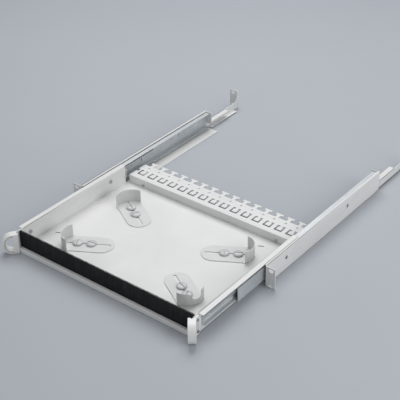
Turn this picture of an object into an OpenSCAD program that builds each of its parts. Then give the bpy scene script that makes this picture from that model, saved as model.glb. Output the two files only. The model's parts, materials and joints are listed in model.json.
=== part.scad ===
// Pull-out fibre-optic cable drawer, one rack unit high, for a 19-inch rack.
// Frame: X to the right, Y to the rear, Z up. Origin in the middle of the four
// front rack slots, on the front plane of the rack flanges. Millimetres.
// Drawn pulled out by rest_pull; the drawer closes towards +Y.

/* [Rack] */
// height of the rack flanges
rack_h = 43.6; // [43:0.1:44]
// width over the rack flanges
rack_w = 482.6; // [480:0.1:484]
// slot spacing across the rack
slot_dx = 465.1; // [464:0.1:466]
// slot spacing up the rack
slot_dz = 31.75; // [31:0.05:32]
// half the height of a rack slot
slot_r = 3.4; // [3:0.1:4]
// end to end length of a rack slot
slot_len = 10; // [8:0.5:13]

/* [Outer rails] */
// width over the rail webs
rail_w = 444; // [440:1:450]
// length of a rail
rail_l = 400; // [350:5:450]
// thickness of the rail sheet
rail_t = 1.5; // [1:0.1:2.5]
// reach of the rail's bottom flange
foot_w = 34.5; // [20:0.5:45]
// reach of the rail's top lip
lip_w = 4.5; // [3:0.5:6]

/* [Rear brackets] */
// distance from front to rear rack flange at the shortest setting
depth_min = 520; // [500:5:600]
// height of the channel part
bar_h = 16.1; // [12:0.1:20]
// thickness of the bracket sheet
bar_t = 1.5; // [1:0.1:2.5]

/* [Drawer] */
// how far the drawer is pulled out in the stored pose
rest_pull = 175; // [0:5:300]
// width over the tray walls
tray_w = 411.4; // [400:0.1:415]
// depth of the tray floor
tray_d = 307.5; // [280:0.5:330]
// tray sheet thickness
tray_t = 1.2; // [1:0.1:2]
// front face of the tray behind the rack plane when closed
front_y = -12; // [-20:1:-5]
// width of the brush strip
brush_w = 408; // [390:1:409]
// height of the brush tips above the foot of the rails
brush_h = 43.8; // [40:0.1:44.4]
// height of the folded front edge
hem_h = 10; // [5:0.1:12]
// angle of the finger rings to the front
ring_a = 52; // [40:1:60]

/* [Slides] */
// height of a telescopic slide
slide_h = 34; // [32:0.5:35]
// thickness of the slide steel
slide_t = 1.2; // [1:0.1:1.5]
// height of the slide's middle above the foot of the rails
slide_z = 23.6; // [22:0.1:24]
// ball radius
ball_r = 1.2; // [1:0.05:1.5]

/* [Radius guides] */
// bend radius of the guide wall
bend_r = 30; // [25:1:40]
// height of the guide wall above the tray floor
guide_h = 26; // [20:1:35]
// half the chord of the guide wall
guide_c = 25; // [20:1:28]
// distance of the outer thumb screw from the tray centre
knob_u = 150.7; // [140:0.1:160]
// spacing of the two thumb screws
knob_gap = 26.2; // [22:0.1:30]
// radius of a thumb screw head
knob_r = 9.5; // [7:0.5:11]
// angle of the guides to the rack plane
guide_a = 30; // [20:1:45]

/* [Tie bar] */
// pitch of the tie points
tie_p = 26; // [20:0.5:30]
// number of tie points each side of the middle
tie_n = 7; // [4:1:7]
// height of the bar above the rail feet
tie_h = 20.6; // [15:0.1:25]

/* [Hidden] */
$fn = 48;
zb = -rack_h / 2;
fy = front_y - rest_pull;
ry = fy + tray_d;
tx = tray_w / 2;
wx = rail_w / 2;
cy = fy + 155.5;
sc0 = 217.2;
smid = slide_z + zb;
bgap = 2 * ball_r + 0.1;
sh = slide_h / 2;
fl_z = tray_t + 1.9 + zb;
tie_y = 118;
scr_y1 = 64;
scr_y2 = 276;
scr_z = 26 + zb;
wall_y1 = 111;
dscr_y = [-153, 67];

// ---- helpers ----

// box from its two corners
module bx(a, b) {
  translate(a) cube([b[0] - a[0], b[1] - a[1], b[2] - a[2]]);
}

// upright slot through a sheet that faces Y, long way along X
module slot_y(x, z, r, len, y0, y1) {
  translate([x, y0, z]) rotate([-90, 0, 0]) union() {
    translate([-(len / 2 - r), 0, 0]) cylinder(r = r, h = y1 - y0);
    translate([len / 2 - r, 0, 0]) cylinder(r = r, h = y1 - y0);
    translate([-(len / 2 - r), -r, 0]) cube([len - 2 * r, 2 * r, y1 - y0]);
  }
}

// slot through a sheet that faces X, long way along Y
module slot_x(y0, y1, z, r, x0, x1) {
  translate([x0, 0, z]) rotate([0, 90, 0]) union() {
    translate([0, y0 + r, 0]) cylinder(r = r, h = x1 - x0);
    translate([0, y1 - r, 0]) cylinder(r = r, h = x1 - x0);
    translate([-r, y0 + r, 0]) cube([2 * r, y1 - y0 - 2 * r, x1 - x0]);
  }
}

// round hole along X
module hole_x(y, z, r, x0, x1) {
  translate([x0, y, z]) rotate([0, 90, 0]) cylinder(r = r, h = x1 - x0);
}

// ---- chassis ----

// right rail: web, foot, top lip, rack flange and rear stop tab
module rail_half() {
  difference() {
    union() {
      bx([wx - rail_t, 0, zb], [wx, rail_l, zb + rack_h]);
      bx([wx - foot_w, 4, zb], [wx - rail_t, rail_l, zb + rail_t]);
      bx([wx - lip_w, 3, zb + rack_h - rail_t], [wx - rail_t, rail_l, zb + rack_h]);
      bx([wx, 0, zb], [rack_w / 2, rail_t, zb + rack_h]);
      // stop tab, undercut so that the bracket strip can pass
      bx([204, rail_l - rail_t, 14 + zb], [218.3, rail_l, zb + rack_h - rail_t]);
      bx([218.3, rail_l - rail_t, 31 + zb], [wx - rail_t, rail_l, zb + rack_h - rail_t]);
      // embossed standoff behind the slide
      hole_x(scr_y1, scr_z, 6, 218.45, wx - rail_t);
    }
    for (s = [-1, 1])
      slot_y(slot_dx / 2, s * slot_dz / 2, slot_r, slot_len, -1, rail_t + 1);
    for (y = [scr_y1, scr_y2]) {
      hole_x(y, scr_z, 2.1, 215, wx + 1);
      translate([wx - 1.7, y, scr_z]) rotate([0, 90, 0])
        cylinder(r1 = 2.3, r2 = 4.1, h = 1.71);
    }
  }
}

module rail_left() { color([0.86, 0.87, 0.86]) mirror([1, 0, 0]) rail_half(); }
module rail_right() { color([0.86, 0.87, 0.86]) rail_half(); }

// outer slide member, fixed to the rail
module cabinet_half() {
  difference() {
    union() {
      bx([sc0, 6, smid - sh], [sc0 + slide_t, 396, smid + sh]);
      for (s = [-1, 1])
        bx([207.4, 6, smid + s * (sh - slide_t / 2) - slide_t / 2],
           [sc0, 396, smid + s * (sh - slide_t / 2) + slide_t / 2]);
    }
    for (y = [scr_y1, scr_y2]) hole_x(y, scr_z, 2.05, sc0 - 1, sc0 + 2);
    bx([sc0 - 1, 297, 22 + zb], [sc0 + 2, 300, 32 + zb]);
    hole_x(336, smid, 3.2, sc0 - 1, sc0 + 2);
    slot_x(352, 372, smid, 2.5, sc0 - 1, sc0 + 2);
    // rounded lead at the rear end
    translate([206, 396, smid - sh + slide_t]) rotate([0, 90, 0])
      cylinder(r = 1.1, h = 20);
  }
}

module slide_cabinet_left() { color([0.66, 0.7, 0.74]) mirror([1, 0, 0]) cabinet_half(); }
module slide_cabinet_right() { color([0.66, 0.7, 0.74]) cabinet_half(); }

// countersunk screw through the rail into the slide
module rail_screw() {
  rotate([0, 90, 0]) union() {
    difference() {
      cylinder(r1 = 2.2, r2 = 4.0, h = 1.65);
      translate([-0.5, -2.6, 0.9]) cube([1, 5.2, 1]);
      translate([-2.6, -0.5, 0.9]) cube([5.2, 1, 1]);
    }
    translate([0, 0, -3.2]) cylinder(r = 2.0, h = 3.3);
  }
}

module rail_screws() {
  color([0.72, 0.74, 0.76]) for (m = [0, 1]) mirror([m, 0, 0])
    for (y = [scr_y1, scr_y2]) translate([wx - 1.65, y, scr_z]) rail_screw();
}

// ---- rear brackets ----

module bracket_half() {
  x1 = wx - rail_t - 0.3;
  x0 = x1 - bar_t;
  z0 = zb + 1.9;
  difference() {
    union() {
      // flat strip between the rail web and the slide
      bx([x0, 165, z0], [x1, 402, zb + 30]);
      // channel part behind the rail
      bx([x0, 402, z0], [x1, depth_min, z0 + bar_h]);
      bx([208, 404, z0], [x0, 500, z0 + bar_t]);
      bx([208, 404, z0 + bar_h - bar_t], [x0, 468, z0 + bar_h]);
      // gusset up to the full flange height
      translate([x1, 0, 0]) rotate([90, 0, -90]) linear_extrude(bar_t)
        polygon([[-506, z0 + bar_h - 1], [-depth_min, z0 + bar_h - 1],
                 [-depth_min, zb + rack_h], [-516, zb + rack_h], [-514, z0 + bar_h + 8]]);
      // rear rack flange
      bx([x0, depth_min - bar_t, zb], [rack_w / 2, depth_min, zb + rack_h]);
    }
    slot_x(170, 281, scr_z, 2.4, x0 - 1, x1 + 1);
    for (s = [-1, 1])
      slot_y(slot_dx / 2, s * slot_dz / 2, slot_r, slot_len, depth_min - 3, depth_min + 1);
    // corner cut under the flange
    bx([rack_w / 2 - 4, depth_min - 3, zb - 1], [rack_w / 2 + 1, depth_min + 1, zb + 2]);
  }
}

module bracket_left() { color([0.86, 0.87, 0.86]) mirror([1, 0, 0]) bracket_half(); }
module bracket_right() { color([0.86, 0.87, 0.86]) bracket_half(); }

// ---- telescopic slides ----

module middle_half() {
  h = sh - slide_t - bgap;
  x1 = sc0 - 0.6;
  y0 = 12 - rest_pull / 2;
  difference() {
    union() {
      bx([x1 - slide_t, y0, smid - h], [x1, y0 + 280, smid + h]);
      for (s = [-1, 1])
        bx([207.4, y0, smid + s * (h - slide_t / 2) - slide_t / 2],
           [x1 - slide_t, y0 + 280, smid + s * (h - slide_t / 2) + slide_t / 2]);
    }
    slot_x(120, 190, 31 + zb, 1.5, x1 - 3, x1 + 1);
    bx([x1 - 3, 173, 18 + zb], [x1 + 1, 176, 27 + zb]);
    // two rolled grooves along the outer face
    for (s = [-1, 1])
      bx([x1 - 0.45, y0 + 5, smid + s * 4.8 - 0.9], [x1 + 1, y0 + 275, smid + s * 4.8 + 0.9]);
  }
}

module slide_middle_left() { color([0.66, 0.7, 0.74]) mirror([1, 0, 0]) middle_half(); }
module slide_middle_right() { color([0.66, 0.7, 0.74]) middle_half(); }

module drawer_member_half() {
  h = sh - 2 * slide_t - 2 * bgap;
  y0 = 12 - rest_pull;
  difference() {
    union() {
      bx([tx, y0, smid - h], [tx + slide_t, y0 + 281, smid + h]);
      for (s = [-1, 1])
        bx([tx + slide_t, y0, smid + s * (h - slide_t / 2) - slide_t / 2],
           [213, y0 + 281, smid + s * (h - slide_t / 2) + slide_t / 2]);
    }
    for (y = dscr_y) hole_x(y, smid + 3, 2.05, tx - 1, tx + 2);
    hole_x(y0 + 22, smid, 2.4, tx - 1, tx + 2);
    slot_x(y0 + 60, y0 + 74, smid, 2.2, tx - 1, tx + 2);
    slot_x(y0 + 180, y0 + 194, smid, 2.2, tx - 1, tx + 2);
  }
}

module slide_drawer_left() { color([0.7, 0.74, 0.78]) mirror([1, 0, 0]) drawer_member_half(); }
module slide_drawer_right() { color([0.7, 0.74, 0.78]) drawer_member_half(); }

// one ball cage: an upper and a lower strip with round windows
module cage_half(y0, zc, x0, x1) {
  for (s = [-1, 1]) difference() {
    bx([x0, y0, smid + s * zc - 0.35], [x1, y0 + 120, smid + s * zc + 0.35]);
    for (i = [0:6]) translate([(x0 + x1) / 2, y0 + 6 + 18 * i, smid + s * zc - 1])
      cylinder(r = ball_r + 0.07, h = 2, $fn = 32);
  }
}

module balls_half(y0, zc, x0, x1) {
  for (s = [-1, 1], i = [0:6])
    translate([(x0 + x1) / 2, y0 + 6 + 18 * i, smid + s * zc]) sphere(r = ball_r, $fn = 24);
}

co_y = 90 - rest_pull / 4;
ci_y = 92 - rest_pull * 3 / 4;
co_z = sh - slide_t - bgap / 2;
ci_z = sh - 2 * slide_t - 1.5 * bgap;

module cage_outer_left() {
  color([0.3, 0.32, 0.34]) mirror([1, 0, 0]) cage_half(co_y, co_z, 208.6, 214.6);
}
module cage_outer_right() { color([0.3, 0.32, 0.34]) cage_half(co_y, co_z, 208.6, 214.6); }
module cage_inner_left() {
  color([0.3, 0.32, 0.34]) mirror([1, 0, 0]) cage_half(ci_y, ci_z, 207.7, 212.7);
}
module cage_inner_right() { color([0.3, 0.32, 0.34]) cage_half(ci_y, ci_z, 207.7, 212.7); }
module balls_outer_left() {
  color([0.8, 0.82, 0.84]) mirror([1, 0, 0]) balls_half(co_y, co_z, 208.6, 214.6);
}
module balls_outer_right() { color([0.8, 0.82, 0.84]) balls_half(co_y, co_z, 208.6, 214.6); }
module balls_inner_left() {
  color([0.8, 0.82, 0.84]) mirror([1, 0, 0]) balls_half(ci_y, ci_z, 207.7, 212.7);
}
module balls_inner_right() { color([0.8, 0.82, 0.84]) balls_half(ci_y, ci_z, 207.7, 212.7); }

// ---- drawer ----

// place children on the axis of a guide: local X points from the tray centre to the corner
module at_guide(mx, my) {
  translate([0, cy, 0]) mirror([mx, 0, 0]) mirror([0, my, 0]) rotate([0, 0, guide_a]) children();
}

hs_z = [9.5, 34];
hs_y = fy + 10;
zt = 42.3 + zb;

module tray() {
  color([0.88, 0.89, 0.88]) difference() {
    union() {
      // floor and folded front edge
      bx([-tx, fy, fl_z - tray_t], [tx, tie_y + 2.5, fl_z]);
      bx([-tx, fy, zb + 0.3], [tx, fy + tray_t, zb + hem_h]);
      bx([-tx, fy, zb + hem_h - tray_t], [tx, fy + 4.95, zb + hem_h]);
      // side walls with a lip folded outwards
      for (m = [0, 1]) mirror([m, 0, 0]) {
        bx([tx - tray_t, fy, fl_z - tray_t], [tx, wall_y1, zt]);
        bx([tx - 0.1, fy + 17, zt - tray_t], [215.5, wall_y1, zt]);
      }
      // rear upstand behind the tie bar
      bx([-192, tie_y + 1.3, fl_z - 0.1], [192, tie_y + 2.5, fl_z + 14]);
    }
    for (m = [0, 1]) mirror([m, 0, 0]) {
      for (y = dscr_y) hole_x(y, smid + 3, 2.1, tx - 3, tx + 1);
      for (z = hs_z) hole_x(hs_y, z + zb, 1.6, tx - 3, tx + 1);
      translate([163, tie_y, 8 + zb]) rotate([-90, 0, 0]) cylinder(r = 1.6, h = 5);
    }
    for (mx = [0, 1], my = [0, 1]) at_guide(mx, my)
      for (u = [knob_u, knob_u - knob_gap]) translate([u, 0, zb - 1]) cylinder(r = 2.55, h = 6);
    // cable tie slots beside two of the guides
    for (m = [0, 1]) at_guide(m, m) translate([m == 1 ? 190 : 183, m == 1 ? -34 : 32, zb - 1])
      cube([12, 2.2, 6]);
  }
}

// pan head screws, heads inside the tray
module pan_screw(r, hr, hh, len) {
  union() {
    difference() {
      translate([0, 0, -hh]) cylinder(r = hr, h = hh);
      translate([-0.5, -hr * 0.6, -hh - 0.1]) cube([1, hr * 1.2, 1.1]);
      translate([-hr * 0.6, -0.5, -hh - 0.1]) cube([hr * 1.2, 1, 1.1]);
    }
    translate([0, 0, -0.1]) cylinder(r = r, h = len);
  }
}

module drawer_screws() {
  color([0.72, 0.74, 0.76]) for (m = [0, 1]) mirror([m, 0, 0]) for (y = dscr_y)
    translate([tx - tray_t - 0.02, y, smid + 3]) rotate([0, 90, 0]) pan_screw(2, 3.8, 2, 3.4);
}

module tie_bar() {
  z1 = tie_h + zb;
  z0 = z1 - tray_t;
  color([0.87, 0.88, 0.87]) difference() {
    union() {
      bx([-200, tie_y, fl_z + 0.05], [200, tie_y + 1.2, z1]);
      bx([-200, tie_y + 1.2, z0], [200, 168, z1]);
      for (i = [-tie_n:tie_n]) translate([i * tie_p, 0, 0]) {
        bx([-3.5, 168, z0], [3.5, 176.5, z1]);
        bx([-8, 176, z0], [8, 181.5, z1]);
      }
    }
    for (i = [-tie_n:tie_n]) translate([i * tie_p, 0, z0 - 1]) {
      translate([0, 160, 0]) cylinder(r = 2.1, h = 4);
      // tongue with a head, cut free on three sides
      bx([-8.8, 130.7, 0], [8.8, 134.3, 4]);
      for (s = [0, 1]) mirror([s, 0, 0]) {
        bx([5.2, 130.7, 0], [8.8, 148.3, 4]);
        bx([2.8, 144.7, 0], [8.8, 148.3, 4]);
      }
    }
    for (m = [0, 1]) mirror([m, 0, 0]) {
      translate([163, tie_y - 1, 8 + zb]) rotate([-90, 0, 0]) cylinder(r = 1.6, h = 5);
      bx([195, 140, z0 - 1], [201, 148, z1 + 1]);
    }
  }
}

module tie_bar_screws() {
  color([0.72, 0.74, 0.76]) for (m = [0, 1]) mirror([m, 0, 0])
    translate([163, tie_y - 0.02, 8 + zb]) rotate([-90, 0, 0]) pan_screw(1.5, 3, 1.8, 3.6);
}

bh_y = fy + 5;
bw = brush_w / 2;

module brush_holder() {
  color([0.8, 0.82, 0.83]) difference() {
    bx([-bw, bh_y, fl_z + 0.05], [bw, bh_y + 7.4, zb + 10]);
    bx([-bw - 1, bh_y + 1.1, fl_z + 1.2], [bw + 1, bh_y + 6.3, zb + 12]);
  }
}

module brush_bristles() {
  color([0.03, 0.03, 0.035])
    bx([-bw, bh_y + 1.15, fl_z + 1.25], [bw, bh_y + 6.25, zb + brush_h]);
}

// outline of the finger ring, shrunk by o
module ring_shape(o) {
  r = 18 - o;
  union() {
    translate([0, 0.5 + o + zb]) square([11.5, 41 - 2 * o]);
    translate([0, 18.5 + zb]) square([29.5 - o, 5]);
    translate([11.5, 18.5 + zb]) circle(r = r);
    translate([11.5, 23.5 + zb]) circle(r = r);
  }
}

// place children at a front corner: local X points out along the ring
module at_ring() {
  translate([tx - 2.2, fy + 2.2, 0]) rotate([0, 0, -ring_a]) children();
}

// finger ring: a D-shaped channel ring on a foot that wraps the tray's corner
module handle_half() {
  difference() {
    union() {
      // foot on the outside of the side wall
      bx([tx + 0.05, fy - 0.5, zb + 2.2], [tx + 3.2, fy + 15, zb + 41]);
      at_ring() translate([0, 7, 0]) rotate([90, 0, 0]) linear_extrude(14) difference() {
        ring_shape(0);
        intersection() {
          ring_shape(7.2);
          translate([8.4, -60]) square([60, 120]);
        }
      }
    }
    // channel on both sides of the ring
    at_ring() for (s = [0, 1]) mirror([0, s, 0]) translate([0, 8, 0]) rotate([90, 0, 0])
      linear_extrude(4.5) difference() {
        intersection() {
          ring_shape(2);
          translate([9.8, -60]) square([60, 120]);
        }
        ring_shape(5.2);
      }
    // the tray's corner
    bx([0, fy - 0.05, zb - 5], [tx + 0.05, fy + 60, zb + 60]);
    bx([0, fy - 20, zb - 5], [tx - 7, fy + 60, zb + 60]);
    for (z = hs_z) hole_x(hs_y, z + zb, 1.65, tx - 1, tx + 9);
  }
}

module handle_left() { color([0.92, 0.92, 0.91]) mirror([1, 0, 0]) handle_half(); }
module handle_right() { color([0.92, 0.92, 0.91]) handle_half(); }

module handle_screws() {
  color([0.72, 0.74, 0.76]) for (m = [0, 1]) mirror([m, 0, 0]) for (z = hs_z)
    translate([tx + 3.22, hs_y, z + zb]) rotate([0, -90, 0]) pan_screw(1.5, 2.9, 1.5, 4.4);
}

// ---- radius guides ----

gz = 0.3;

module guide_body() {
  z0 = fl_z + gz;
  difference() {
    union() {
      // base sheet: round nose, straight sides, round back
      difference() {
        translate([0, 0, z0]) linear_extrude(1.2) union() {
          translate([105, 0]) circle(r = 24);
          translate([105, -24]) square([knob_u + 17.9 - 105, 48]);
          intersection() {
            translate([knob_u, 0]) circle(r = bend_r);
            translate([knob_u + 10, -guide_c]) square([40, 2 * guide_c]);
          }
        }
        // long adjusting slot
        translate([0, 0, z0 - 1]) linear_extrude(4) union() {
          translate([90.4, -2.8]) square([83.6, 5.6]);
          translate([90.4, 0]) circle(r = 2.8);
          translate([174, 0]) circle(r = 2.8);
        }
      }
      // curved wall bent up from the base
      translate([0, 0, z0]) linear_extrude(guide_h) intersection() {
        difference() {
          translate([knob_u, 0]) circle(r = bend_r, $fn = 96);
          translate([knob_u, 0]) circle(r = bend_r - 1.2, $fn = 96);
        }
        translate([knob_u + 10, -guide_c]) square([40, 2 * guide_c]);
      }
    }
  }
}

module guide_front_left() { color([0.84, 0.85, 0.85]) at_guide(1, 1) guide_body(); }
// this guide's wall is cut down in the middle, where the fibre leaves for the brush strip
module guide_front_right() {
  top = fl_z + gz + guide_h;
  color([0.84, 0.85, 0.85]) at_guide(0, 1) difference() {
    guide_body();
    translate([knob_u + 12, 0, 0]) rotate([90, 0, 90]) linear_extrude(30)
      polygon([[-16.5, top + 1], [-16.5, top - 11], [-14, top - 13.5], [-3, top - 13.5],
               [0, top - 12], [4.5, top - 4], [8, top - 1], [9.5, top + 1]]);
  }
}
module guide_rear_left() { color([0.84, 0.85, 0.85]) at_guide(1, 0) guide_body(); }
module guide_rear_right() { color([0.84, 0.85, 0.85]) at_guide(0, 0) guide_body(); }

// slotted thumb screw, standing in the tray floor
module thumb_screw() {
  z0 = fl_z + gz + 1.2 + 0.3;
  difference() {
    union() {
      translate([0, 0, z0]) cylinder(r = knob_r, h = 3.2);
      translate([0, 0, z0 + 3.2]) cylinder(r1 = knob_r, r2 = knob_r - 1.2, h = 1.2);
      translate([0, 0, fl_z - 1.5]) cylinder(r = 2.45, h = z0 - fl_z + 1.6);
    }
    translate([-1, -knob_r - 1, z0 + 2.8]) cube([2, 2 * knob_r + 2, 3]);
  }
}

module thumb_screws() {
  color([0.8, 0.81, 0.8]) for (mx = [0, 1], my = [0, 1]) at_guide(mx, my)
    for (u = [knob_u, knob_u - knob_gap]) translate([u, 0, 0]) rotate([0, 0, 25]) thumb_screw();
}

// pressed nuts under the tray floor
module floor_nuts() {
  color([0.72, 0.74, 0.76]) for (mx = [0, 1], my = [0, 1]) at_guide(mx, my)
    for (u = [knob_u, knob_u - knob_gap]) translate([u, 0, fl_z - tray_t - 1.55]) difference() {
      cylinder(r = 5, h = 1.5);
      translate([0, 0, -1]) cylinder(r = 2.5, h = 4);
    }
}

// ---- drawing ----
rail_left();
rail_right();
slide_cabinet_left();
slide_cabinet_right();
rail_screws();
bracket_left();
bracket_right();
slide_middle_left();
slide_middle_right();
cage_outer_left();
cage_outer_right();
cage_inner_left();
cage_inner_right();
balls_outer_left();
balls_outer_right();
balls_inner_left();
balls_inner_right();
tray();
slide_drawer_left();
slide_drawer_right();
drawer_screws();
tie_bar();
tie_bar_screws();
brush_holder();
brush_bristles();
handle_left();
handle_right();
handle_screws();
guide_front_left();
guide_front_right();
guide_rear_left();
guide_rear_right();
thumb_screws();
floor_nuts();
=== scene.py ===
# %% [markdown]
# # A pull-out fibre cable drawer
# This is a shallow sheet-metal drawer, one unit high, that hangs on telescopic slides in a
# 19-inch rack. Spare loops of fibre lie in it round four radius guides, are tied down on a
# slotted bar at the back, and leave at the front through a brush.
# The measured model is loaded first and is never moved. Everything made here is laid over it.

import json
import math

import bmesh
import bpy
import numpy as np
from mathutils import Matrix, Vector


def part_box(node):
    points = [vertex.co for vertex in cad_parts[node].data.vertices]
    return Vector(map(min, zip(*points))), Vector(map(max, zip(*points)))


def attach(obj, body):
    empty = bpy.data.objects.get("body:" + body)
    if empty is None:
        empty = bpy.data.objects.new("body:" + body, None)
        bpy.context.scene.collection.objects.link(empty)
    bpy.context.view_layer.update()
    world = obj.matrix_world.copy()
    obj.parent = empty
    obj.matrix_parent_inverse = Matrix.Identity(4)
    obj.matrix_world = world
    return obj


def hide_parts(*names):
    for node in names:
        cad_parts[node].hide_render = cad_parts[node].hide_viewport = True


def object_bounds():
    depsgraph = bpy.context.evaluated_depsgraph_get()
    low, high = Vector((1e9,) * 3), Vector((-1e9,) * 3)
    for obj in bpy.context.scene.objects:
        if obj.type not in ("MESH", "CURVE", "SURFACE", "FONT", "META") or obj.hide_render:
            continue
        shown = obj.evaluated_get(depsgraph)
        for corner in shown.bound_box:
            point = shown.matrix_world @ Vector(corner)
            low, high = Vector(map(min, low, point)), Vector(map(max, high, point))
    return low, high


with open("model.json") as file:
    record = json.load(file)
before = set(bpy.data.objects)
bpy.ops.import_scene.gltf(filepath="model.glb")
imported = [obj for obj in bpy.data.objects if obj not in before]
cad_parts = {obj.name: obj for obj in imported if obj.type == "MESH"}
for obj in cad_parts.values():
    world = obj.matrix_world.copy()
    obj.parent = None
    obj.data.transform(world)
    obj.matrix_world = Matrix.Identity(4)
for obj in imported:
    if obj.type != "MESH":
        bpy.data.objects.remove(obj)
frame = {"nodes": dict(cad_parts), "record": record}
cad_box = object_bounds()
RECORD = frame["record"]
SLOT = {row["node"]: row["material_slot"] for row in RECORD["subparts"]}
BODY = {n: body for body, nodes in RECORD["behaviour"]["bodies"].items() for n in nodes}
MM = 0.001
print("measured box, mm:", [[round(c / MM, 1) for c in corner] for corner in cad_box])

# %% [markdown]
# ## The camera
# The camera stands to the right of the front, a little more than 32 degrees above the drawer.
# A long lens from two metres away keeps the rails nearly parallel. The three axes of the
# camera are worked out from its two angles, so nothing has to be aimed.

# %% Camera
AZIMUTH, ELEVATION = math.radians(36.76), math.radians(32.43)
CAMERA_AT = (1.0125, -1.1746, 1.0636)
SENSOR_WIDTH, FOCAL_LENGTH = 36.0, 90.7
SHIFT_RIGHT, SHIFT_UP = -0.0655, -0.008
NEAREST, FARTHEST = 0.05, 30.0
backward = Vector((math.sin(AZIMUTH) * math.cos(ELEVATION),
                   -math.cos(AZIMUTH) * math.cos(ELEVATION), math.sin(ELEVATION)))
rightward = Vector((math.cos(AZIMUTH), math.sin(AZIMUTH), 0.0))
upward = backward.cross(rightward)
lens = bpy.data.cameras.new("camera")
lens.sensor_width, lens.lens = SENSOR_WIDTH, FOCAL_LENGTH
lens.shift_x, lens.shift_y = SHIFT_RIGHT, SHIFT_UP
lens.clip_start, lens.clip_end = NEAREST, FARTHEST
camera = bpy.data.objects.new("camera", lens)
camera.matrix_world = Matrix.Translation(CAMERA_AT) @ Matrix(
    (rightward, upward, backward)).transposed().to_4x4()
bpy.context.scene.collection.objects.link(camera)
bpy.context.scene.camera = camera
print("camera looks along", [round(-c, 3) for c in backward])

# %% [markdown]
# ## Nodes of a material
# Every material here is a small tree of shader nodes. Written out one by one they would fill
# pages, so five short helpers add a node, place it on the part, mix two colours and stretch a
# value. Object coordinates are used throughout, so a finish stays put when a part moves.

# %% Nodes of a material
def new_material(name):
    """An empty material with its Principled shader: returns material, tree and shader."""
    material = bpy.data.materials.new(name)
    material.use_nodes = True
    tree = material.node_tree
    return material, tree, tree.nodes["Principled BSDF"]


def add(tree, kind, links=(), **settings):
    """Adds one node, sets its settings and feeds its inputs: links are (input, socket)."""
    made = tree.nodes.new(kind)
    for name, value in settings.items():
        if hasattr(made, name):
            setattr(made, name, value)
        else:
            made.inputs[name.replace("_", " ")].default_value = value
    for target, socket in links:
        tree.links.new(socket, made.inputs[target])
    return made


def place_on(tree, scale=(1.0, 1.0, 1.0)):
    """Object coordinates in metres, stretched by scale, as every finish here uses them."""
    where = add(tree, "ShaderNodeTexCoord")
    stretched = add(tree, "ShaderNodeMapping", [("Vector", where.outputs["Object"])])
    stretched.inputs["Scale"].default_value = scale
    return stretched.outputs["Vector"]


def blend_of(tree, factor, first, second):
    """Mixes two colours by a socket: each is a colour or another socket."""
    mix = add(tree, "ShaderNodeMix", [("Factor", factor)], data_type="RGBA")
    for index, colour in ((6, first), (7, second)):
        if isinstance(colour, bpy.types.NodeSocket):
            tree.links.new(colour, mix.inputs[index])
        else:
            mix.inputs[index].default_value = (*colour, 1.0)
    return mix.outputs[2]


def span(tree, value, low, high, start=0.0, stop=1.0):
    """Stretches a value from start..stop to low..high and holds it there."""
    ranged = add(tree, "ShaderNodeMapRange", [("Value", value)])
    for name, number in (("From Min", start), ("From Max", stop), ("To Min", low),
                         ("To Max", high)):
        ranged.inputs[name].default_value = number
    return ranged.outputs["Result"]


# %% [markdown]
# ## Floor and light
# White sheet metal only reads against something a little darker, so the floor is a pale cool
# grey, and it curves up far behind the drawer into a backdrop. One profile carried sideways
# makes both. The light is three wide soft boxes. A strong one above and behind gives the
# bright tray and the shaded upright walls, a softer one stands at the right, and a weak one
# at the front lifts the shadows.

# %% Floor and backdrop
FLOOR_GAP = 0.2 * MM
FLOOR_Z = cad_box[0][2] - FLOOR_GAP
FLOOR_HALF_WIDTH = 4.0


def backdrop_profile(count=24, near=-3.2, far=2.6, radius=1.2, top=3.4):
    """Flat from near to far, a quarter turn of the radius, then straight up to top."""
    turn = np.linspace(0.0, math.pi / 2, count)
    y = np.concatenate(([near], far + radius * np.sin(turn), [far + radius]))
    z = np.concatenate(([0.0], radius * (1 - np.cos(turn)), [top]))
    return np.stack((y, FLOOR_Z + z), axis=1)


profile = backdrop_profile()
sides = np.array([-FLOOR_HALF_WIDTH, FLOOR_HALF_WIDTH])
sheet_points = np.stack((np.repeat(sides, len(profile)), np.tile(profile[:, 0], 2),
                         np.tile(profile[:, 1], 2)), axis=1)
row = np.arange(len(profile) - 1)
sheet_faces = np.stack((row, row + len(profile), row + len(profile) + 1, row + 1), axis=1)
floor_mesh = bpy.data.meshes.new("floor")
floor_mesh.from_pydata(sheet_points.tolist(), [], sheet_faces.tolist())
floor_mesh.shade_smooth()
floor = bpy.data.objects.new("floor", floor_mesh)
bpy.context.scene.collection.objects.link(floor)
floor_finish, tree, shader = new_material("studio_floor")
cloud = add(tree, "ShaderNodeTexNoise", [("Vector", place_on(tree))], Scale=1.6, Detail=3.0)
tree.links.new(blend_of(tree, cloud.outputs[0], (0.40, 0.425, 0.46), (0.44, 0.465, 0.50)),
               shader.inputs["Base Color"])
shader.inputs["Roughness"].default_value = 0.75
floor_mesh.materials.append(floor_finish)


def soft_box(name, at, towards, size, power):
    """A square lamp at one point, facing another, of a width in metres and a power in watts."""
    lamp = bpy.data.lights.new(name, "AREA")
    lamp.shape, lamp.size, lamp.energy = "SQUARE", size, power
    made = bpy.data.objects.new(name, lamp)
    made.location = at
    made.rotation_euler = (Vector(towards) - Vector(at)).to_track_quat("-Z", "Y").to_euler()
    bpy.context.scene.collection.objects.link(made)


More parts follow.
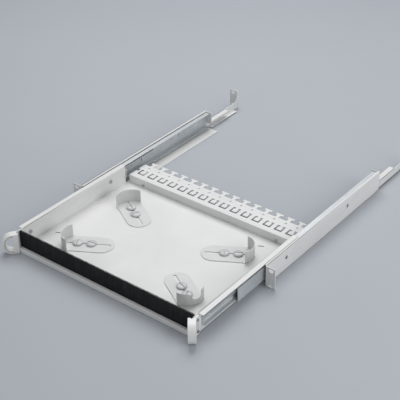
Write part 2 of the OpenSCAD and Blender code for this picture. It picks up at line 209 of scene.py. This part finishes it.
MIDDLE = (0.0, 0.1, 0.0)
soft_box("light_above", (-0.55, 0.95, 1.9), MIDDLE, 1.7, 34.0)
soft_box("light_right", (1.9, 0.1, 0.9), MIDDLE, 1.4, 19.0)
soft_box("light_front", (-0.5, -2.1, 1.0), MIDDLE, 1.5, 7.0)
world = bpy.data.worlds.new("studio")
world.use_nodes = True
room = world.node_tree.nodes["Background"]
room.inputs["Color"].default_value = (0.90, 0.93, 0.96, 1.0)
room.inputs["Strength"].default_value = 0.30
bpy.context.scene.world = world
bpy.context.scene.view_settings.view_transform = "Standard"
print("floor at", round(FLOOR_Z / MM, 2), "mm, with", len(sheet_faces), "faces")

# %% [markdown]
# ## One recipe for every finish
# Powder coat, zinc plating, moulded plastic and filaments differ in numbers more than in
# kind. Each has a broad drift of colour, a fine grain that may be drawn out along the part,
# a roughness that follows the grain, a bump at the scale of the real surface, and edges
# where handling has rubbed it. The rubbed edge is found by comparing the true normal with
# one averaged over a fraction of a millimetre: they differ only close to an edge.

# %% The recipe
def finish(name, pale, deep, rough, metal=0.0, drift=9.0, grain=900.0, stretch=(1, 1, 1),
           speck=0.25, bump=0.12, depth=0.04 * MM, rubbed=None, rub_rough=0.3, rub=0.6,
           coat=0.0, width=0.7 * MM):
    """Colour runs between pale and deep by a broad noise, and speck of a fine one is added.
    Lengths are in metres; rubbed is the colour of a rubbed edge, or None for no rubbing."""
    material, tree, shader = new_material(name)
    plain, drawn = place_on(tree), place_on(tree, stretch)
    broad = add(tree, "ShaderNodeTexNoise", [("Vector", plain)], Scale=drift, Detail=4.0,
                Roughness=0.55)
    fine = add(tree, "ShaderNodeTexNoise", [("Vector", drawn)], Scale=grain, Detail=3.0,
               Roughness=0.6)
    patch = span(tree, broad.outputs[0], 0.0, 1.0, 0.3, 0.7)
    speckle = span(tree, fine.outputs[0], 0.0, speck, 0.35, 0.7)
    colour = blend_of(tree, speckle, blend_of(tree, patch, pale, deep), deep)
    mixed = add(tree, "ShaderNodeMath", [(0, broad.outputs[0]), (1, fine.outputs[0])],
                operation="ADD")
    roughness = span(tree, mixed.outputs[0], rough[0], rough[1], 0.7, 1.3)
    if rubbed is not None:
        true = add(tree, "ShaderNodeNewGeometry")
        soft = add(tree, "ShaderNodeBevel", samples=4)
        soft.inputs["Radius"].default_value = width
        same = add(tree, "ShaderNodeVectorMath", [(0, true.outputs["Normal"]),
                                                  (1, soft.outputs["Normal"])],
                   operation="DOT_PRODUCT")
        edge = span(tree, same.outputs["Value"], rub, 0.0, 0.80, 0.97)
        broken = add(tree, "ShaderNodeMath", [(0, edge), (1, span(
            tree, fine.outputs[0], 0.35, 1.0, 0.35, 0.6))], operation="MULTIPLY")
        colour = blend_of(tree, broken.outputs[0], colour, rubbed)
        worn = add(tree, "ShaderNodeMix", [(0, broken.outputs[0]), (2, roughness)],
                   data_type="FLOAT")
        worn.inputs[3].default_value = rub_rough
        roughness = worn.outputs[0]
    ripple = add(tree, "ShaderNodeBump", [("Height", fine.outputs[0])])
    ripple.inputs["Strength"].default_value = bump
    ripple.inputs["Distance"].default_value = depth
    tree.links.new(colour, shader.inputs["Base Color"])
    tree.links.new(roughness, shader.inputs["Roughness"])
    tree.links.new(ripple.outputs["Normal"], shader.inputs["Normal"])
    shader.inputs["Metallic"].default_value = metal
    shader.inputs["Coat Weight"].default_value = coat
    shader.inputs["Coat Roughness"].default_value = 0.2
    return material


# %% [markdown]
# ## The nine finishes
# Rails, brackets, tray, tie bar and brush holder share one light grey powder coat with a
# faint orange peel.
# The slides are blue passivated zinc, drawn out along the slide by the rolls that formed it.
# The rings are moulded, the guides are thinner coated sheet, the brush is black nylon.
# The guides' grey is darker than the tray's coat: painted shade for their upright walls.

# %% The nine finishes
FINISH = {
    "powder_coat": finish("light_grey_powder_coat", (0.77, 0.77, 0.758), (0.70, 0.702, 0.695),
                          (0.36, 0.50), grain=760, bump=0.16, rubbed=(0.84, 0.85, 0.85),
                          rub_rough=0.28, coat=0.06),
    "zinc_slide": finish("blue_zinc_slide", (0.66, 0.685, 0.70), (0.52, 0.55, 0.57),
                         (0.34, 0.50), metal=0.55, drift=16, grain=620, stretch=(1, 0.03, 1),
                         speck=0.6, bump=0.22, rubbed=(0.82, 0.84, 0.85), rub_rough=0.24),
    "cage_steel": finish("dark_cage_strip", (0.22, 0.235, 0.25), (0.13, 0.14, 0.15),
                         (0.34, 0.5), metal=1.0, grain=700, stretch=(1, 0.05, 1), speck=0.5,
                         rubbed=(0.4, 0.41, 0.42)),
    "ball_steel": finish("polished_ball", (0.80, 0.81, 0.82), (0.70, 0.72, 0.74),
                         (0.08, 0.16), metal=1.0, grain=1500, speck=0.3, bump=0.05),
    "bristles": finish("black_nylon_filament", (0.014, 0.015, 0.017), (0.006, 0.006, 0.007),
                       (0.45, 0.65), drift=60, grain=1800, stretch=(1, 1, 0.05), speck=0.8,
                       bump=0.3),
    "moulded_plastic": finish("white_moulded_ring", (0.80, 0.80, 0.785),
                              (0.745, 0.745, 0.73), (0.30, 0.42), drift=25, grain=1300,
                              speck=0.2, bump=0.1, rubbed=(0.84, 0.84, 0.83), coat=0.1),
    # painted shade: the whole guide is a darker grey than the tray's coat, so that its upright
    # walls look shaded
    "guide_sheet": finish("guide_sheet_darkened_as_painted_shade", (0.68, 0.685, 0.675), (0.62, 0.625, 0.62),
                          (0.34, 0.48), drift=22, grain=900, speck=0.3, bump=0.14,
                          rubbed=(0.80, 0.81, 0.80), rub_rough=0.25, coat=0.05),
    "thumb_screw": finish("turned_thumb_screw", (0.60, 0.61, 0.61), (0.50, 0.51, 0.515),
                          (0.26, 0.38), drift=70, grain=1200, speck=0.35, bump=0.12,
                          rubbed=(0.80, 0.80, 0.80), coat=0.15),
    "screw_zinc": finish("zinc_screw", (0.58, 0.60, 0.62), (0.44, 0.46, 0.48), (0.26, 0.42),
                         metal=1.0, drift=120, grain=1500, speck=0.5,
                         rubbed=(0.78, 0.79, 0.80)),
}
for name, shape in frame["nodes"].items():
    shape.data.materials.clear()
    shape.data.materials.append(FINISH[SLOT[name]])
print(len(FINISH), "finishes on", len(frame["nodes"]), "measured parts")

# %% [markdown]
# ## Folded sheet has round bends and broken edges
# Laser-cut and folded sheet is never sharp. A fold has an outer radius a little larger than
# the sheet is thick, and a cut edge is only broken by a few tenths of a millimetre. A merged
# copy of each folded part gets both from one Bevel: the width is a weight on each edge. An
# edge between two broad faces is a fold, and an edge beside a narrow strip is a cut edge.
# A face's breadth is twice its area over its perimeter, which is nearly the sheet's
# thickness for a cut edge's strip.

# %% Rounded copies of the folded parts
SAME_POINT = 0.002 * MM


def flat_breadths(body, flat=math.radians(0.6)):
    """Spreads over neighbouring triangles of one plane; each gets the plane's breadth,
    twice its area over its outline."""
    breadth, seen = {}, set()
    for start in body.faces:
        if start in seen:
            continue
        region, waiting, outline = [], [start], 0.0
        seen.add(start)
        while waiting:
            face = waiting.pop()
            region.append(face)
            for edge in face.edges:
                level = len(edge.link_faces) == 2 and edge.calc_face_angle(0) < flat
                if not level:
                    outline += edge.calc_length()
                    continue
                for other in edge.link_faces:
                    if other not in seen:
                        seen.add(other)
                        waiting.append(other)
        wide = 2 * sum(f.calc_area() for f in region) / max(outline, 1e-9)
        breadth.update(dict.fromkeys(region, wide))
    return breadth


def broken_edges(node, fold=1.3, cut=0.22, thick=2.2, steps=3, angle=32.0):
    """A merged copy of a measured part, its folds and cut edges rounded. Lengths are in
    millimetres: a face narrower than thick is the strip of a cut edge. Returns the number
    of fold edges."""
    measured = frame["nodes"][node]
    body = bmesh.new()
    body.from_mesh(measured.data)
    bmesh.ops.remove_doubles(body, verts=body.verts, dist=SAME_POINT)
    weight = body.edges.layers.float.new("bevel_weight_edge")
    breadth = flat_breadths(body)
    folds = 0
    for edge in body.edges:
        sharp = len(edge.link_faces) == 2 and edge.calc_face_angle(0) > math.radians(angle)
        if not sharp:
            continue
        broad = min(breadth[f] for f in edge.link_faces) > thick * MM
        outer = broad and edge.is_convex
        edge[weight] = 1.0 if outer else cut / fold
        folds += outer
    made = bpy.data.meshes.new(node + "_rounded")
    body.to_mesh(made)
    body.free()
    made.shade_smooth()
    made.set_sharp_from_angle(angle=math.radians(angle))
    made.materials.clear()
    made.materials.append(FINISH[SLOT[node]])
    piece = bpy.data.objects.new(node + "_rounded", made)
    bpy.context.scene.collection.objects.link(piece)
    bevel = piece.modifiers.new("edges", "BEVEL")
    bevel.limit_method, bevel.width, bevel.segments = "WEIGHT", fold * MM, steps
    bevel.use_clamp_overlap = False
    level = piece.modifiers.new("flat_faces_stay_flat", "WEIGHTED_NORMAL")
    level.mode, level.weight, level.keep_sharp = "FACE_AREA", 100, True
    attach(piece, BODY[node])
    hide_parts(node)
    return folds


PLAIN_ROUNDING = (0.7, 0.18)
FOLDED = {"tray": (1.2, 0.2), "tie_bar": (1.2, 0.2), "rail_left": (1.3, 0.3),
          "rail_right": (1.3, 0.3), "bracket_left": (1.3, 0.3), "bracket_right": (1.3, 0.3),
          "brush_holder": (0.3, 0.15), "handle_left": (0.6, 0.5), "handle_right": (0.6, 0.5)}
for node, (fold, cut) in FOLDED.items():
    print(node, "folds rounded:", broken_edges(node, fold, cut))
for node in [n for n in frame["nodes"] if n.startswith(("guide_", "slide_"))]:
    print(node, "folds rounded:", broken_edges(node, *PLAIN_ROUNDING))

# %% [markdown]
# ## A skin over a grid
# The new pieces are grids of points worked out with numpy. A grid has one ring of points for
# each station along the piece. Joining neighbours gives four-sided faces, and the first and
# last ring are closed with a cap, so that each piece is a closed solid.

# %% Skin and piece
def skin(grid):
    """Faces over a grid (stations, points round, xyz): rings run anticlockwise seen from
    the last station's end, each ring is closed, and both ends are capped."""
    stations, round_ = grid.shape[:2]
    s, r = np.meshgrid(np.arange(stations - 1), np.arange(round_), indexing="ij")
    after = (r + 1) % round_
    quads = np.stack((s * round_ + r, s * round_ + after, (s + 1) * round_ + after,
                      (s + 1) * round_ + r), axis=-1).reshape(-1, 4).tolist()
    ends = [list(range(round_))[::-1], list(range((stations - 1) * round_,
                                                  stations * round_))]
    return grid.reshape(-1, 3), quads + ends


def piece_of(name, parts, body, slot, nodes=(), angle=40.0):
    """Joins (points, faces) parts, given in millimetres, into one object on one body."""
    points, faces, first = [], [], 0
    for part_points, part_faces in parts:
        points.append(np.asarray(part_points, float))
        faces += [[first + i for i in face] for face in part_faces]
        first += len(part_points)
    mesh = bpy.data.meshes.new(name)
    mesh.from_pydata((np.concatenate(points) * MM).tolist(), [], faces)
    mesh.shade_smooth()
    mesh.set_sharp_from_angle(angle=math.radians(angle))
    mesh.materials.append(FINISH[slot])
    piece = bpy.data.objects.new(name, mesh)
    bpy.context.scene.collection.objects.link(piece)
    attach(piece, body)
    if nodes:
        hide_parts(*nodes)
    print(name, len(faces), "faces")


# %% [markdown]
# ## The brush
# A brush strip is thousands of fine nylon filaments clamped in a metal channel. One block
# would look like rubber. Hair curves could make it, but they are lost when the model is
# saved, so each filament here is a thin three-sided tube of only a few faces that leans and
# bends a little. A dark heart between the rows keeps light from shining through, as the
# hidden filaments of a real brush do.

# %% The brush
low, high = (np.array(c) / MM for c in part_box("brush_bristles"))
FILAMENTS_A_ROW, ROWS = 560, 8
SIDES = 3


def filaments(count, rows, radius=0.17, seed=11):
    """Each filament follows root + t * height up + t squared * lean, for t from 0 to 1, as a
    three-sided tube whose radius falls to two thirds at the tip. Rows are offset by half a
    step, and the tips follow two slow sine waves."""
    rng = np.random.default_rng(seed)
    total = count * rows
    column = np.tile(np.arange(count), rows)
    line = np.repeat(np.arange(rows), count)
    x = low[0] + 0.5 + (high[0] - low[0] - 1.0) * (column + 0.5 * (line % 2)) / (count - 0.5)
    x = x + rng.uniform(-0.28, 0.28, total)
    y = low[1] + 0.55 + (high[1] - low[1] - 1.1) * line / (rows - 1)
    y = y + rng.uniform(-0.12, 0.12, total)
    wave = 0.35 * np.sin(x * 0.071) + 0.25 * np.sin(x * 0.19 + 1.3)
    tip = high[2] - 0.05 - 0.45 * rng.random(total) ** 2 - 0.3 * (wave * wave)
    lean = np.stack((rng.normal(0, 0.5, total), rng.normal(0, 0.28, total)
                     + 0.35 * (line / (rows - 1) - 0.5)), axis=1)
    t = np.array([0.0, 0.45, 0.8, 1.0])
    centre = np.zeros((total, len(t), 3))
    centre[..., 0] = x[:, None] + lean[:, 0:1] * t ** 2
    centre[..., 1] = y[:, None] + lean[:, 1:2] * t ** 2
    centre[..., 2] = low[2] + 0.2 + (tip - low[2] - 0.2)[:, None] * t
    turn = rng.uniform(0, 2 * math.pi, total)[:, None] + np.arange(SIDES) * 2 * math.pi / SIDES
    thin = radius * (1 - t / 3)
    ring = np.stack((np.cos(turn), np.sin(turn), np.zeros_like(turn)), axis=-1)
    points = centre[:, :, None, :] + thin[None, :, None, None] * ring[:, None, :, :]
    level, c = np.meshgrid(np.arange(len(t) - 1), np.arange(SIDES), indexing="ij")
    here, above, after = level * SIDES, (level + 1) * SIDES, (c + 1) % SIDES
    around = np.stack((here + c, here + after, above + after, above + c),
                      axis=-1).reshape(-1, 4)
    base = (np.arange(total) * SIDES * len(t))[:, None]
    quads = (base[..., None] + around[None]).reshape(-1, 4).tolist()
    caps = np.concatenate((base + [9, 10, 11], base + [2, 1, 0])).tolist()
    points = points.reshape(-1, 3)
    points[:, 0] = np.clip(points[:, 0], low[0], high[0])
    points[:, 1] = np.clip(points[:, 1], low[1] - 0.3, high[1] + 0.3)
    return points, quads + caps


def brush_heart(stations=120, seed=4):
    """A rounded block carried along the strip; its top follows two slow sine waves."""
    x = np.linspace(low[0] + 0.6, high[0] - 0.6, stations)
    top = high[2] - 2.2 - 0.3 * np.sin(x * 0.11) - 0.2 * np.sin(x * 0.37)
    half, middle = (high[1] - low[1]) / 2 - 0.75, (high[1] + low[1]) / 2
    turn = np.linspace(0, math.pi, 9)
    side = np.concatenate(([half], half * np.cos(turn), [-half]))
    rise = np.concatenate(([0.0], 0.9 * np.sin(turn), [0.0]))
    foot = np.concatenate(([True], np.full(9, False), [True]))
    grid = np.zeros((stations, 11, 3))
    grid[..., 0] = x[:, None]
    grid[..., 1] = middle + side
    grid[..., 2] = np.where(foot, low[2] + 0.1, top[:, None] - 0.9 + rise)
    return skin(grid)


piece_of("brush_filaments", [filaments(FILAMENTS_A_ROW, ROWS), brush_heart()], "drawer",
         "bristles", ["brush_bristles"], angle=60)

# %% [markdown]
# ## The thumb screws
# Each guide is held by two broad slotted screws that a coin or a thumb can turn. The head is
# a low dome with a groove straight across. A grid of chords fits it: each station is a chord
# of the circle parallel to the groove, so the groove's edges stay straight, which rings
# round the middle could not give.

# %% The thumb screws
RADIUS, HEAD, GROOVE, GROOVE_DEPTH = 9.5, 4.4, 1.0, 1.9
SHANK_RADIUS, SHANK_SIDES = 2.45, 24
SCREW_GAP = 26.2
TURNS = np.radians([25, 100, 62, 150, 12, 77, 118, 40])


def head_top(foot, count=22, across=15):
    """Chords at x = R cos(angle), each with y from -1 to 1 times its half length. Height is
    the head less 1.5 times (r over R) to the sixth and a quarter of (r over R) squared, with
    a flat floor inside the groove."""
    x = RADIUS * np.cos(np.linspace(math.pi * 0.985, math.pi * 0.015, count))
    x = np.sort(np.concatenate((x[np.abs(x) > GROOVE * 1.15],
                                [-GROOVE - 0.01, -GROOVE, GROOVE, GROOVE + 0.01])))
    y = np.sin(np.linspace(-math.pi / 2, math.pi / 2, across))[None] * np.sqrt(
        RADIUS ** 2 - x[:, None] ** 2)
    spread = np.sqrt(x[:, None] ** 2 + y ** 2) / RADIUS
    z = foot + HEAD - 1.5 * spread ** 6 - 0.25 * spread ** 2
    floor_of_groove = np.abs(x)[:, None] <= GROOVE
    z = np.where(floor_of_groove, foot + HEAD - GROOVE_DEPTH, z)
    return np.stack((np.broadcast_to(x[:, None], y.shape), y, z), axis=-1)


def thumb_screw(at, turn, foot, under):
    """The dome's grid, a side wall hung from its outline, and a plain shank below."""
    top = head_top(foot)
    rows_, cols = top.shape[:2]
    index = np.arange(rows_ * cols).reshape(rows_, cols)
    faces = np.stack((index[:-1, :-1], index[1:, :-1], index[1:, 1:], index[:-1, 1:]),
                     axis=-1).reshape(-1, 4).tolist()
    loop = np.concatenate((index[:, 0], index[-1, 1:], index[-2::-1, -1], index[0, -2:0:-1]))
    outline = top.reshape(-1, 3)[loop]
    levels = [outline]
    for height, inward in ((0.7, 0.0), (0.35, 0.12), (0.0, 0.5)):
        ring = outline * (1 - inward / RADIUS)
        ring[:, 2] = foot + height
        levels.append(ring)
    points = np.concatenate((top.reshape(-1, 3), *levels[1:]))
    size = len(loop)
    rings = [loop] + [rows_ * cols + size * k + np.arange(size) for k in range(3)]
    for above, below in zip(rings[:-1], rings[1:]):
        faces += np.stack((np.roll(above, -1), above, below, np.roll(below, -1)),
                          axis=-1).tolist()
    faces.append(rings[-1][::-1].tolist())
    around = np.linspace(0, 2 * math.pi, SHANK_SIDES, endpoint=False)
    shank = np.zeros((2, SHANK_SIDES, 3))
    shank[..., 0], shank[..., 1] = SHANK_RADIUS * np.cos(around), SHANK_RADIUS * np.sin(around)
    shank[..., 2] = np.array([[under], [foot + 0.2]])
    shank_points, shank_faces = skin(shank)
    faces += [[len(points) + i for i in face] for face in shank_faces]
    points = np.concatenate((points, shank_points))
    c, s = math.cos(turn), math.sin(turn)
    turned = points @ np.array([[c, s, 0], [-s, c, 0], [0, 0, 1]])
    return turned + np.array([at[0], at[1], 0.0]), faces


low_t, high_t = (np.array(c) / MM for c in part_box("thumb_screws"))
foot_z = high_t[2] - HEAD
centre_y = (low_t[1] + high_t[1]) / 2
reach = np.array([high_t[0] - RADIUS, high_t[1] - centre_y - RADIUS])
outer = float(np.hypot(*reach))
places = [(side, end, u) for side in (-1, 1) for end in (-1, 1)
          for u in (outer, outer - SCREW_GAP)]
screws = [thumb_screw(reach * (u / outer) * (side, end) + (0, centre_y), turn, foot_z, low_t[2])
          for (side, end, u), turn in zip(places, TURNS)]
piece_of("thumb_screw_heads", screws, "drawer", "thumb_screw", ["thumb_screws"], angle=38)

# %% [markdown]
# ## Beads rolled into the slides
# A telescopic slide is stiffened by beads that the rolls press along its web. Each is a low
# rounded profile carried straight along the slide. It stands proud on the hollow side, from
# a third of a millimetre to a little over one, so that the members still pass each other.

# %% Beads rolled into the slides
def bead(side, face_x, inward, y0, y1, z, wide, tall, stations=40):
    """A raised cosine across the bead, x = face + tall * (1 + cos) / 2, faded over the last
    six millimetres at each end. Its foot is sunk a little into the web."""
    y = np.linspace(y0, y1, stations)
    fade = np.clip(np.minimum(y - y0, y1 - y) / 6.0, 0.02, 1.0) ** 0.5
    across = np.linspace(-1, 1, 9)
    lift = tall * (1 + np.cos(across * math.pi)) / 2
    grid = np.zeros((stations, 11, 3))
    level = np.concatenate((fade[:, None] * lift[None], np.full((stations, 2), -0.15)), axis=1)
    grid[..., 0] = side * (face_x + inward * level)
    grid[..., 1] = y[:, None]
    grid[..., 2] = z + wide * np.concatenate((across, [1.0, -1.0]))
    if side * inward > 0:
        grid = grid[:, ::-1]
    return skin(grid)


# for each member: the web's face, which way the bead stands (1 outwards, -1 inwards), the
# bare length at each end, the height above and below the middle, its width and how tall it is
BEADS = {"slide_drawer": (206.9, 1, 5, 5.0, 1.6, 1.3),
         "slide_middle": (215.4, -1, 4, 4.8, 1.2, 0.5),
         "slide_cabinet": (217.2, -1, 6, 9.5, 1.4, 0.3)}
for label, sign in (("left", -1), ("right", 1)):
    for node, (face_x, inward, bare, level, wide, tall) in BEADS.items():
        low_s, high_s = (np.array(c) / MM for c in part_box(f"{node}_{label}"))
        middle_z = (low_s[2] + high_s[2]) / 2
        beads = [bead(sign, face_x, inward, low_s[1] + bare, high_s[1] - bare,
                      middle_z + s * level, wide, tall) for s in (-1, 1)]
        piece_of(f"{node}_beads_{label}", beads, BODY[f"{node}_{label}"], "zinc_slide")

# %% [markdown]
# ## Boxes as plain numbers
# A box is turned into two plain lists of numbers.

# %% Boxes as plain numbers
def plain(box):
    """A box as two plain lists of numbers."""
    return [[float(c) for c in corner] for corner in box]
